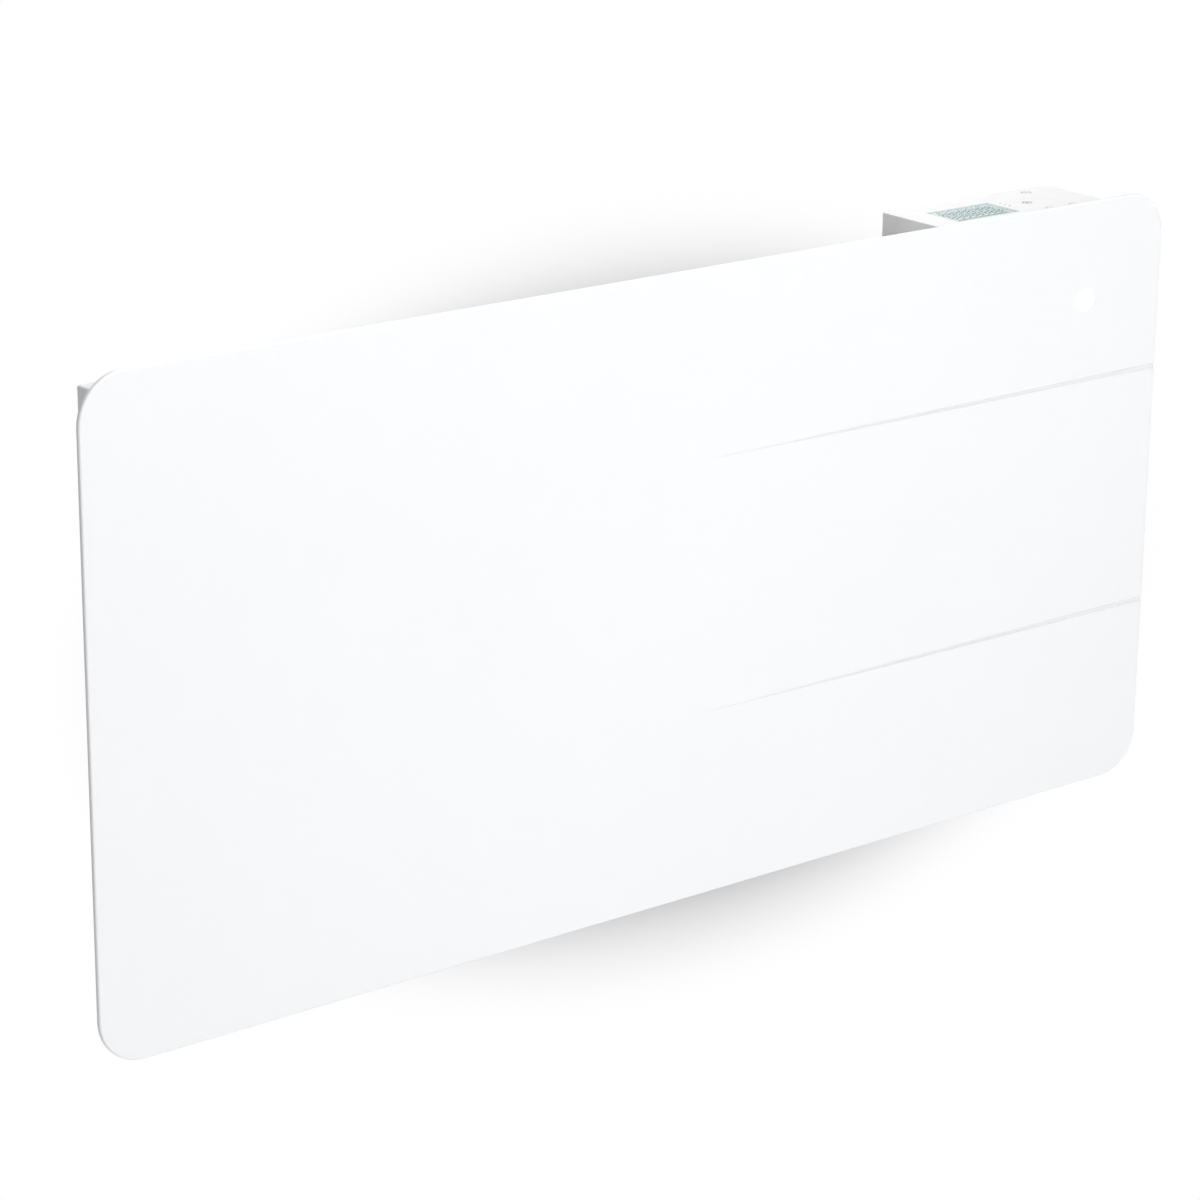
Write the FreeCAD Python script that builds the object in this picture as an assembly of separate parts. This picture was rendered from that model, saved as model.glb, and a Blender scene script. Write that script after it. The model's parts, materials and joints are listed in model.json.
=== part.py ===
import FreeCAD, Part
import math
import os

# Wall-hung electric panel heater. Millimetres.
# +X runs along the panel to the right, +Y points into the wall, +Z is up.
# The origin is the centre of the four wall holes, on the wall.

V = FreeCAD.Vector
X_AXIS = V(1, 0, 0)
Y_AXIS = V(0, 1, 0)
Z_AXIS = V(0, 0, 1)

# Front panel
PANEL_W = 1016.0
PANEL_H = 500.0
PANEL_R = 36.5
PANEL_FRONT = -90.0
PANEL_T = 3.2
SKIN_T = 1.5
RIM_W = 8.0
EDGE_R = 1.6
GROOVE_Z = (102.5, -99.5)
GROOVE_TIP_X = 20.0
GROOVE_W = 5.6
GROOVE_FLOOR_W = 3.0
GROOVE_DEPTH = 1.5
GROOVE_WALL = 0.9

# Rear casing
CASING_W = 946.0
CASING_H = 452.0
CASING_REAR = -28.0
SHEET_T = 1.2
FLANGE_W = 10.0
SLOT_W = 6.0
SLOT_PITCH = 14.0
SLOT_FRONT = -74.0
SLOT_REAR = -40.0
SEAM = 4.0
BEAD_H = 16.0
BEAD_RISE = 1.4

# Controller box
BOX_X0 = 278.0
BOX_X1 = 457.0
BOX_FRONT = -86.0
BOX_REAR = -5.0
BOX_Z0 = 95.0
BOX_Z1 = 245.0
BOX_R = 12.0
BOX_WALL = 2.5
BAY_GAP = 0.2
SMALL_GAP = 0.2

# Display, lights and keys on the controller's top
LCD_X0 = 303.0
LCD_X1 = 370.0
LCD_Y0 = -66.0
LCD_Y1 = -26.6
WINDOW_T = 0.6
WINDOW_LEDGE = 0.8
GLASS_T = 2.0
PIPE_X = 377.5
PIPES = {"light_pipe_clear": -35.0, "light_pipe_amber": -40.5, "light_pipe_red": -46.0}
PIPE_R = 1.3
KEYS = {"key_power": (424.0, -16.5), "key_menu": (396.5, -46.0),
        "key_minus": (398.0, -71.5), "key_plus": (424.0, -71.5)}
KEY_R = 4.3
KEY_GAP = 0.3
KEY_PROUD = 0.4
KEY_TRAVEL = 0.8

# Control board
BOARD_TOP = 229.6
BOARD_T = 1.6
BOARD_X0 = 282.0
BOARD_X1 = 433.0
POSTS = ((288.0, -13.0), (288.0, -79.0), (408.0, -28.0), (411.0, -58.0))
SWITCH_H = 4.0
PLUNGER_H = 0.8

# Power board
POWER_BOARD_X0 = 288.0
POWER_BOARD_X1 = 432.0
POWER_BOARD_Z0 = 118.0
POWER_BOARD_Z1 = 212.0
POWER_BOARD_Y = -20.0
POWER_BOARD_BACK = -18.4

# Mains rocker switch, in the controller's right-hand side
SWITCH_Y = -50.0
SWITCH_Z = 234.8
SWITCH_CUT_Y = 19.0
SWITCH_CUT_Z = 13.0
SWITCH_WALL = 1.0
SWITCH_DEEP = 17.0
ROCKER_TILT = 10.0
PIN_R = 1.0
PIN_HOLE_R = 1.15
ROCKER_X = BOX_X1 - 1.0

# Presence sensor, in the front panel
LENS_X = 424.0
LENS_Z = 170.0
LENS_R = 10.0
LENS_GAP = 0.05
LENS_FLANGE_R = 12.5
LENS_FLANGE_T = 0.9
SENSOR_BOARD_FRONT = -79.0

# Layers behind the panel
FOIL_T = 0.6
LAYER_X0 = -466.0
LAYER_X1 = 262.0
LAYER_Z = 210.0
BOARD_FRONT = -86.4
INSULATION_T = 8.0
REFLECTOR_T = 0.8
FOIL_X1 = 468.0
FOIL_STEP_Z = 88.0
CUTOUT_X = 120.0
CUTOUT_Z = 165.0

# Convection element
ELEMENT_X0 = -380.0
ELEMENT_X1 = 180.0
ELEMENT_Y = -53.0
ELEMENT_Z = -150.0
HUB_R = 8.0
ROD_R = 4.25
BORE_R = 4.3
WING_L = 31.0
WING_T = 1.8
BUSH_R = 7.0
BUSH_FLANGE_T = 4.0

# Wiring in the casing
GROMMET_X = 428.0
SUPPLY_X = 431.5
WIRE_Y = -57.0
WIRE_HOLE_R = 13.0
GROMMET_HOLE_R = 9.0
GLAND_R = 10.0
GLAND_HOLE_R = 4.2
PROBE_X0 = 300.0
PROBE_X1 = 326.0
PROBE_Y = -50.0
PROBE_Z = -212.0
PROBE_R = 2.5

# Wall bracket
RAIL_X = 250.0
RAIL_W = 30.0
RAIL_T = 1.5
RAIL_Z0 = -205.0
RAIL_Z1 = 212.0
HOLE_Z = 160.0
HOLE_R = 3.25
HOOK_Z = (140.0, -150.0)
HOOK_REACH = 5.5
RIVET_R = 1.95
LOCK_Y = -14.0
LOCK_R = 3.0
LOCK_ARM = 26.0
LOCK_ARM_W = 10.0
LOCK_ARM_T = 2.0
LOCK_LIFT = 0.3

# Fixings
SCREW_R = 2.0
NUT_R = 3.6
BOSS_R = 3.2
COVER_BOSS_R = 3.6
PILOT_R = 1.3
CLEAR_R = 1.5
SMALL_SCREW_R = 1.25

panel_back = PANEL_FRONT + PANEL_T
skin_back = PANEL_FRONT + SKIN_T
half_w = CASING_W / 2
half_h = CASING_H / 2
bay_x0 = BOX_X0 - BAY_GAP
bay_x1 = BOX_X1 + BAY_GAP
bay_z0 = BOX_Z0 - BAY_GAP
box_inner_top = BOX_Z1 - BOX_WALL
box_inner_rear = BOX_REAR - BOX_WALL
rear_inner = CASING_REAR - SHEET_T
reflector_back = BOARD_FRONT + INSULATION_T + REFLECTOR_T
glass_top = BOX_Z1 - WINDOW_T - 0.1
glass_bottom = glass_top - GLASS_T


def box(x0, x1, y0, y1, z0, z1):
    return Part.makeBox(x1 - x0, y1 - y0, z1 - z0, V(x0, y0, z0))


def rod_x(r, x0, x1, y, z):
    return Part.makeCylinder(r, x1 - x0, V(x0, y, z), X_AXIS)


def rod_y(r, y0, y1, x, z):
    return Part.makeCylinder(r, y1 - y0, V(x, y0, z), Y_AXIS)


def rod_z(r, z0, z1, x, y):
    return Part.makeCylinder(r, z1 - z0, V(x, y, z0), Z_AXIS)


def join(shapes):
    """One solid from touching or overlapping shapes."""
    first, *rest = shapes
    return first.multiFuse(rest).removeSplitter()


def edges_where(shape, test):
    """The edges whose every vertex passes a test."""
    return [e for e in shape.Edges if all(test(v.Point) for v in e.Vertexes)]


def edges_along(shape, axis):
    """The straight edges parallel to an axis."""
    return [e for e in shape.Edges
            if abs(e.tangentAt(e.FirstParameter).dot(axis)) > 0.999]


def rounded_plate(x0, x1, z0, z1, radius, y0, y1):
    """An upright plate with round corners."""
    plate = box(x0, x1, y0, y1, z0, z1)
    return plate.makeFillet(radius, edges_along(plate, Y_AXIS))


def slot(x, y0, y1, z0, z1, width):
    """A vertical cutter with round ends, long in Y."""
    r = width / 2
    middle = box(x - r, x + r, y0 + r, y1 - r, z0, z1)
    return join([middle, rod_z(r, z0, z1, x, y0 + r), rod_z(r, z0, z1, x, y1 - r)])


def pyramid(base, tip):
    """A solid from a polygon to a point."""
    faces = [Part.Face(Part.makePolygon(base + base[:1]))]
    for a, b in zip(base, base[1:] + base[:1]):
        faces.append(Part.Face(Part.makePolygon([a, b, tip, a])))
    solid = Part.Solid(Part.Shell(faces))
    if solid.Volume < 0:
        solid.reverse()
    return solid


def prism_x(points, x0, x1):
    """A (y, z) outline extruded along X."""
    outline = [V(x0, y, z) for y, z in points]
    return Part.Face(Part.makePolygon(outline + outline[:1])).extrude(V(x1 - x0, 0, 0))


def prism_y(points, y0, y1):
    """An (x, z) outline extruded along Y."""
    outline = [V(x, y0, z) for x, z in points]
    return Part.Face(Part.makePolygon(outline + outline[:1])).extrude(V(0, y1 - y0, 0))


def prism_z(points, z0, z1):
    """An (x, y) outline extruded along Z."""
    outline = [V(x, y, z0) for x, y in points]
    return Part.Face(Part.makePolygon(outline + outline[:1])).extrude(V(0, 0, z1 - z0))


def wire_tube(points, diameter, bend):
    """A round lead along straight runs joined by tangent arcs."""
    points = [V(*p) for p in points]
    edges = []
    start = points[0]
    for before, corner, after in zip(points, points[1:], points[2:]):
        back = (before - corner).normalize()
        ahead = (after - corner).normalize()
        turn = math.pi - back.getAngle(ahead)
        reach = bend * math.tan(turn / 2)
        enter = corner + back * reach
        leave = corner + ahead * reach
        toward = (back + ahead).normalize()
        middle = corner + toward * (bend / math.cos(turn / 2) - bend)
        edges.append(Part.LineSegment(start, enter).toShape())
        edges.append(Part.Arc(enter, middle, leave).toShape())
        start = leave
    edges.append(Part.LineSegment(start, points[-1]).toShape())
    path = Part.Wire(edges)
    section = Part.Wire(Part.makeCircle(diameter / 2, points[0], points[1] - points[0]))
    return path.makePipeShell([section], True, False)


def pan_screw(head_r, head_t, shank_r, shank_l, point, direction):
    """A screw whose head sits at the point and whose shank runs along the direction."""
    head = Part.makeCylinder(head_r, head_t, point - direction * head_t, direction)
    outer = point - direction * head_t
    rim = edges_where(head, lambda p: abs((p - outer).dot(direction)) < 0.01)
    head = head.makeFillet(head_t * 0.35, rim)
    recess = Part.makeCylinder(head_r * 0.4, head_t * 0.5, point - direction * head_t, direction)
    shank = Part.makeCylinder(shank_r, shank_l, point, direction)
    return join([head.cut(recess), shank])


# Front panel and what is bonded to it

def groove_base(x, low, high, half, floor, z):
    """The wide end of a tapering groove: a trapezium, narrower at its deep side."""
    return [V(x, low, z - half), V(x, low, z + half), V(x, high, z + floor), V(x, high, z - floor)]


def groove_rib(z):
    """The back of a pressed groove, standing into the panel's hollow."""
    half = GROOVE_W / 2 + GROOVE_WALL
    floor = GROOVE_FLOOR_W / 2 + GROOVE_WALL
    low = skin_back - 0.2
    end = PANEL_W / 2 - EDGE_R - 0.5
    base = groove_base(end, low, skin_back + GROOVE_DEPTH, half, floor, z)
    return pyramid(base, V(GROOVE_TIP_X, low, z))


def groove_cut(z):
    """The groove's own space, from just in front of the panel to the groove's floor."""
    over = 0.3
    slope = (GROOVE_W - GROOVE_FLOOR_W) / 2 / GROOVE_DEPTH
    half = GROOVE_W / 2 + over * slope
    floor = GROOVE_FLOOR_W / 2
    base = groove_base(PANEL_W / 2 + 4, PANEL_FRONT - over, PANEL_FRONT + GROOVE_DEPTH, half, floor, z)
    return pyramid(base, V(GROOVE_TIP_X, PANEL_FRONT, z))


def make_front_panel():
    x = PANEL_W / 2
    z = PANEL_H / 2
    plate = rounded_plate(-x, x, -z, z, PANEL_R, PANEL_FRONT, panel_back)
    plate = plate.makeFillet(EDGE_R, edges_where(plate, lambda p: p.y < PANEL_FRONT + 0.01))
    pocket = rounded_plate(RIM_W - x, x - RIM_W, RIM_W - z, z - RIM_W, PANEL_R - RIM_W,
                           skin_back, panel_back + 1)
    lens_hole = rod_y(LENS_R + LENS_GAP, PANEL_FRONT - 1, skin_back + 1, LENS_X, LENS_Z)
    shell = plate.cut(pocket).multiFuse([groove_rib(groove_z) for groove_z in GROOVE_Z])
    return shell.cut([lens_hole] + [groove_cut(groove_z) for groove_z in GROOVE_Z])


def flange_points():
    """Where the casing's flange is screwed to the panel, as (x, z)."""
    side_x = half_w + FLANGE_W / 2
    side_z = half_h + FLANGE_W / 2
    points = [(x, side_z) for x in (-420.0, -210.0, 0.0, 210.0, 470.0)]
    points += [(x, -side_z) for x in (-420.0, -210.0, 0.0, 210.0, 420.0)]
    points += [(side * side_x, z) for side in (-1, 1) for z in (-140.0, 0.0, 140.0)]
    return points


def make_panel_nuts():
    nuts = []
    for x, z in flange_points():
        nut = rod_y(NUT_R, skin_back, panel_back, x, z)
        nuts.append(nut.cut(rod_y(SCREW_R + 0.05, skin_back, panel_back, x, z)))
    return Part.makeCompound(nuts)


def make_casing_screws():
    shank = panel_back + SHEET_T - skin_back - 0.2
    return Part.makeCompound([
        pan_screw(NUT_R, 2.4, SCREW_R, shank, V(x, panel_back + SHEET_T, z), V(0, -1, 0))
        for x, z in flange_points()])


def make_radiant_foil():
    """A flat comb, slit where the grooves stand proud of the panel's back."""
    slit = 6.0
    slit_x = GROOVE_TIP_X + 20
    top, low = GROOVE_Z
    points = [(LAYER_X0, -LAYER_Z), (FOIL_X1, -LAYER_Z), (FOIL_X1, low - slit), (slit_x, low - slit),
              (slit_x, low + slit), (FOIL_X1, low + slit), (FOIL_X1, FOIL_STEP_Z), (LAYER_X1, FOIL_STEP_Z),
              (LAYER_X1, top - slit), (slit_x, top - slit), (slit_x, top + slit),
              (LAYER_X1, top + slit), (LAYER_X1, LAYER_Z), (LAYER_X0, LAYER_Z)]
    return prism_y(points, skin_back, skin_back + FOIL_T)


def make_insulation_board():
    return box(LAYER_X0, LAYER_X1, BOARD_FRONT, BOARD_FRONT + INSULATION_T, -LAYER_Z, LAYER_Z)


def make_reflector_tray():
    t = REFLECTOR_T
    tray = box(LAYER_X0 - t, LAYER_X1 + t, BOARD_FRONT, reflector_back, -LAYER_Z - t, LAYER_Z + t)
    beads = [box(x - 3, x + 3, reflector_back, reflector_back + 1.2, -LAYER_Z + 25, LAYER_Z - 25)
             for x in (-390.0, -250.0, -110.0, 30.0, 150.0)]
    return join([tray.cut(make_insulation_board()), *beads])


# Casing and what stands in it

def air_slots(x0, x1, z0, z1):
    count = int((x1 - x0) / SLOT_PITCH)
    return [slot(x0 + i * SLOT_PITCH, SLOT_FRONT, SLOT_REAR, z0, z1, SLOT_W) for i in range(count + 1)]


def hook_faces():
    """The X span of each rail side that carries hooks."""
    spans = []
    for rail in (-RAIL_X, RAIL_X):
        spans.append((rail - RAIL_W / 2, rail - RAIL_W / 2 + RAIL_T))
        spans.append((rail + RAIL_W / 2 - RAIL_T, rail + RAIL_W / 2))
    return spans


def bead(x0, x1, z0, z1, y):
    """A pressed rib with sloping sides, standing behind the plane y."""
    slope = BEAD_RISE * 1.5
    top = y + BEAD_RISE
    along = prism_z([(x0, y), (x0 + slope, top), (x1 - slope, top), (x1, y)], z0, z1)
    across = prism_x([(y, z0), (top, z0 + slope), (top, z1 - slope), (y, z1)], x0, x1)
    return along.common(across)


def beads(shrink, y):
    """The stiffening ribs of the casing's back, beside and between the rails."""
    spans = [(-452.0, -282.0, z) for z in (-90.0, 20.0, 130.0)]
    spans += [(-218.0, 218.0, z) for z in (-90.0, 20.0, 130.0)]
    spans += [(282.0, 452.0, z) for z in (-90.0, 20.0)]
    half = BEAD_H / 2 - shrink
    return [bead(x0 + shrink, x1 - shrink, z - half, z + half, y) for x0, x1, z in spans]


def lock_slots():
    """Slots in the casing's back, wide enough for the locks' arms to swing in."""
    z0 = RAIL_Z1 - 1.2
    z1 = RAIL_Z1 + 4.2
    short = LOCK_ARM_W / 2 + 1.5
    long = 23.0
    return [box(-RAIL_X - short, -RAIL_X + long, rear_inner - 1, CASING_REAR + 1, z0, z1),
            box(RAIL_X - long, RAIL_X + short, rear_inner - 1, CASING_REAR + 1, z0, z1)]


def casing_cuts():
    cuts = [box(bay_x0, bay_x1, panel_back - 1, CASING_REAR + 1, bay_z0, half_h + 20)]
    cuts += air_slots(-448.0, 252.0, half_h - 5, half_h + 5)
    cuts += air_slots(-448.0, 392.0, -half_h - 5, 5 - half_h)
    cuts += lock_slots()
    for x0, x1 in hook_faces():
        cuts += [box(x0 - 1, x1 + 1, rear_inner - 1, CASING_REAR + 1, z - 17, z) for z in HOOK_Z]
    flange_back = panel_back + SHEET_T
    cuts += [rod_y(SCREW_R + 0.3, panel_back - 1, flange_back + 1, x, z) for x, z in flange_points()]
    cuts.append(rod_z(GLAND_R + 0.1, -half_h - 5, 5 - half_h, SUPPLY_X, WIRE_Y))
    return Part.makeCompound(cuts)


def folded_casing():
    outer = box(-half_w, half_w, panel_back, CASING_REAR, -half_h, half_h)
    bends = edges_along(outer, Y_AXIS) + edges_where(outer, lambda p: p.y > CASING_REAR - 0.01)
    outer = outer.makeFillet(2.0, bends)
    t = SHEET_T
    inner = box(t - half_w, half_w - t, panel_back - 1, rear_inner, t - half_h, half_h - t)
    bends = edges_along(inner, Y_AXIS) + edges_where(inner, lambda p: p.y > rear_inner - 0.01)
    inner = inner.makeFillet(0.8, bends)
    flange = box(-half_w - FLANGE_W, half_w + FLANGE_W, panel_back, panel_back + t,
                 -half_h - FLANGE_W, half_h + FLANGE_W)
    flange = flange.makeFillet(6.0, edges_along(flange, Y_AXIS))
    casing = outer.multiFuse([flange, *beads(0, CASING_REAR)])
    return casing.cut(Part.makeCompound([inner, *beads(0.8, rear_inner)])).cut(casing_cuts())


def casing_pieces():
    """The casing's back pan and the four rim strips that are seam-welded to it."""
    casing = folded_casing()
    x = half_w + 20
    z = half_h + 20
    y = panel_back - 1
    seam_y = CASING_REAR - SEAM
    seam_z = half_h - SEAM
    regions = {
        "casing_back": box(-x, x, seam_y, CASING_REAR + 5, -z, z),
        "casing_top": box(-x, x, y, seam_y, seam_z, z),
        "casing_bottom": box(-x, x, y, seam_y, -z, -seam_z),
        "casing_left": box(-x, 0, y, seam_y, -seam_z, seam_z),
        "casing_right": box(0, x, y, seam_y, -seam_z, seam_z),
    }
    return {name: casing.common(region) for name, region in regions.items()}


def make_bay_partition():
    t = SHEET_T
    y0 = panel_back + t
    top = half_h - t - 1
    walls = join([box(bay_x0 - t, bay_x0, y0, rear_inner, bay_z0 - t, top),
                  box(bay_x0 - t, bay_x1 + t, y0, rear_inner, bay_z0 - t, bay_z0),
                  box(bay_x1, bay_x1 + t, y0, rear_inner, bay_z0 - t, top)])
    holes = [rod_z(WIRE_HOLE_R, bay_z0 - 5, bay_z0 + 5, GROMMET_X, WIRE_Y)]
    holes += [rod_x(1.7, x - 3, x + 3, y, z) for x in (bay_x0, bay_x1) for y, z in side_screws()]
    return walls.cut(Part.makeCompound(holes))


def side_screws():
    """Where the partition holds the controller's sides, as (y, z)."""
    return [(-65.0, 120.0), (-65.0, 205.0)]


def make_wire_grommet():
    z0 = bay_z0 - SHEET_T
    flange = rod_z(WIRE_HOLE_R + 3, z0 - 2, z0, GROMMET_X, WIRE_Y)
    ring = join([flange, rod_z(WIRE_HOLE_R, z0, bay_z0, GROMMET_X, WIRE_Y)])
    return ring.cut(rod_z(GROMMET_HOLE_R, z0 - 3, bay_z0 + 1, GROMMET_X, WIRE_Y))


def make_cable_gland():
    floor = -half_h
    hexagon = hex_prism(13.5, floor - 5, floor, SUPPLY_X, WIRE_Y)
    dome = Part.makeCone(8.0, 11.5, 9.0, V(SUPPLY_X, WIRE_Y, floor - 14))
    stem = rod_z(GLAND_R, floor, floor + 12, SUPPLY_X, WIRE_Y)
    body = join([hexagon, dome, stem])
    return body.cut(rod_z(GLAND_HOLE_R, floor - 20, floor + 20, SUPPLY_X, WIRE_Y))


def make_gland_nut():
    top = SHEET_T - half_h
    return hex_prism(14.0, top, top + 5, SUPPLY_X, WIRE_Y).cut(
        rod_z(GLAND_R + 0.05, top - 1, top + 6, SUPPLY_X, WIRE_Y))


def hex_prism(r, z0, z1, x, y):
    corners = [(x + r * math.cos(math.radians(60 * i)), y + r * math.sin(math.radians(60 * i)))
               for i in range(6)]
    return prism_z(corners, z0, z1)


# Convection element

def make_element_profile():
    wing = box(ELEMENT_X0, ELEMENT_X1, -WING_T / 2, WING_T / 2, 0, WING_L)
    tip = rod_x(1.6, ELEMENT_X0, ELEMENT_X1, 0, WING_L)
    wings = []
    for angle in (40, 140, 220, 320):
        for part in (wing, tip):
            turned = part.copy()
            turned.rotate(V(0, 0, 0), X_AXIS, angle)
            turned.translate(V(0, ELEMENT_Y, ELEMENT_Z))
            wings.append(turned)
    hub = rod_x(HUB_R, ELEMENT_X0, ELEMENT_X1, ELEMENT_Y, ELEMENT_Z)
    profile = join([hub, *wings])
    cuts = [rod_x(BORE_R, ELEMENT_X0 - 1, ELEMENT_X1 + 1, ELEMENT_Y, ELEMENT_Z)]
    length = 26.0
    pitch = 35.0
    for i in range(int((ELEMENT_X1 - ELEMENT_X0) / pitch)):
        x = ELEMENT_X0 + 5 + i * pitch
        for side in (-1, 1):
            y = ELEMENT_Y + side * 13.5
            cuts.append(box(x, x + length, y - 1.8, y + 1.8, ELEMENT_Z - 40, ELEMENT_Z + 40))
    return profile.cut(Part.makeCompound(cuts))


def make_element_rod():
    rod = rod_x(ROD_R, ELEMENT_X0 - 26, ELEMENT_X1 + 26, ELEMENT_Y, ELEMENT_Z)
    pins = [rod_x(1.2, x, x + 9, ELEMENT_Y, ELEMENT_Z) for x in (ELEMENT_X0 - 35, ELEMENT_X1 + 26)]
    return join([rod, *pins])


def element_bush(x0, direction):
    """A stepped bush: its flange meets the profile's end and its neck is in the bracket."""
    x1 = x0 + direction * BUSH_FLANGE_T
    x2 = x0 + direction * 14
    flange = rod_x(BUSH_R + 3, min(x0, x1), max(x0, x1), ELEMENT_Y, ELEMENT_Z)
    neck = rod_x(BUSH_R, min(x0, x2), max(x0, x2), ELEMENT_Y, ELEMENT_Z)
    hole = rod_x(ROD_R + 0.05, min(x0, x2) - 1, max(x0, x2) + 1, ELEMENT_Y, ELEMENT_Z)
    return join([flange, neck]).cut(hole)


def element_bracket(x0, direction):
    """A bent plate from the casing's back to the bush."""
    x1 = x0 + direction * 1.5
    x2 = x0 + direction * 16
    plate = box(min(x0, x1), max(x0, x1), ELEMENT_Y - 13, rear_inner, ELEMENT_Z - 13, ELEMENT_Z + 13)
    foot = box(min(x0, x2), max(x0, x2), rear_inner - 1.5, rear_inner, ELEMENT_Z - 13, ELEMENT_Z + 13)
    hole = rod_x(BUSH_R + 0.05, min(x0, x1) - 1, max(x0, x1) + 1, ELEMENT_Y, ELEMENT_Z)
    return join([plate, foot]).cut(hole)


def make_thermal_cutout():
    x = CUTOUT_X
    z = CUTOUT_Z
    y = reflector_back
    plate = box(x - 13, x + 13, y, y + 1, z - 9, z + 9)
    body = rod_y(8.0, y + 1, y + 9, x, z)
    tabs = [box(x + side * 4 - 0.4, x + side * 4 + 0.4, y + 9, y + 16, z - 3, z + 3) for side in (-1, 1)]
    return join([plate, body, *tabs])


def make_air_probe():
    sleeve = rod_x(PROBE_R, PROBE_X0, PROBE_X1, PROBE_Y, PROBE_Z)
    return sleeve.makeFillet(1.2, edges_where(sleeve, lambda p: p.x < PROBE_X0 + 0.1))


def make_probe_clip():
    floor = SHEET_T - half_h
    block = box(PROBE_X0 + 8, PROBE_X0 + 18, PROBE_Y - 4.5, PROBE_Y + 4.5, floor, PROBE_Z + 4)
    return block.cut(rod_x(PROBE_R + 0.05, PROBE_X0, PROBE_X1, PROBE_Y, PROBE_Z))


# Leads inside the casing

def make_supply_lead():
    x = SUPPLY_X
    points = [(x, WIRE_Y, -209), (x, WIRE_Y, -120), (x + 5, WIRE_Y + 3, -60), (x + 5, WIRE_Y + 3, 10),
              (x, WIRE_Y, 60), (x, WIRE_Y, 112)]
    return wire_tube(points, 7.0, 40.0)


def make_element_leads():
    start = ELEMENT_X1 + 36
    leads = []
    for side in (-1, 1):
        y = ELEMENT_Y + side * 3
        x = GROMMET_X - 5.5
        z = ELEMENT_Z + 6 * side
        points = [(start, y, ELEMENT_Z + 2.5 * side), (start + 30, y, z), (x, WIRE_Y + 2.4 * side, z),
                  (x, WIRE_Y + 2.4 * side, 118)]
        leads.append(wire_tube(points, 2.6, 14.0))
    return Part.makeCompound(leads)


def make_foil_leads():
    leads = []
    for side in (-1, 1):
        z = -180.0 + 5 * side
        x = GROMMET_X - 3
        y = WIRE_Y + 6 * side
        points = [(300.0, skin_back + FOIL_T, z), (300.0, y, z), (x, y, z), (x, y, 106)]
        leads.append(wire_tube(points, 2.2, 8.0))
    return Part.makeCompound(leads)


def make_probe_lead():
    y = WIRE_Y - 7.4
    z = PROBE_Z + 7
    points = [(PROBE_X1, PROBE_Y, PROBE_Z), (365.0, PROBE_Y, PROBE_Z), (390.0, y, z),
              (GROMMET_X, y, z), (GROMMET_X, y, 106)]
    return wire_tube(points, 1.8, 9.0)


# Controller box

def lcd_opening(grow, z0, z1):
    return box(LCD_X0 - grow, LCD_X1 + grow, LCD_Y0 - grow, LCD_Y1 + grow, z0, z1)


def cover_screws_at():
    """Where the cover is screwed on, as (x, z)."""
    return [(x, z) for x in (BOX_X0 + 6, BOX_X1 - 6) for z in (BOX_Z0 + 7, BOX_Z0 + 120)]


def power_posts():
    """Where the power board is fixed, as (x, z)."""
    return [(x, z) for x in (POWER_BOARD_X0 + 6, POWER_BOARD_X1 - 6)
            for z in (POWER_BOARD_Z0 + 12, POWER_BOARD_Z1 - 7)]


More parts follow.
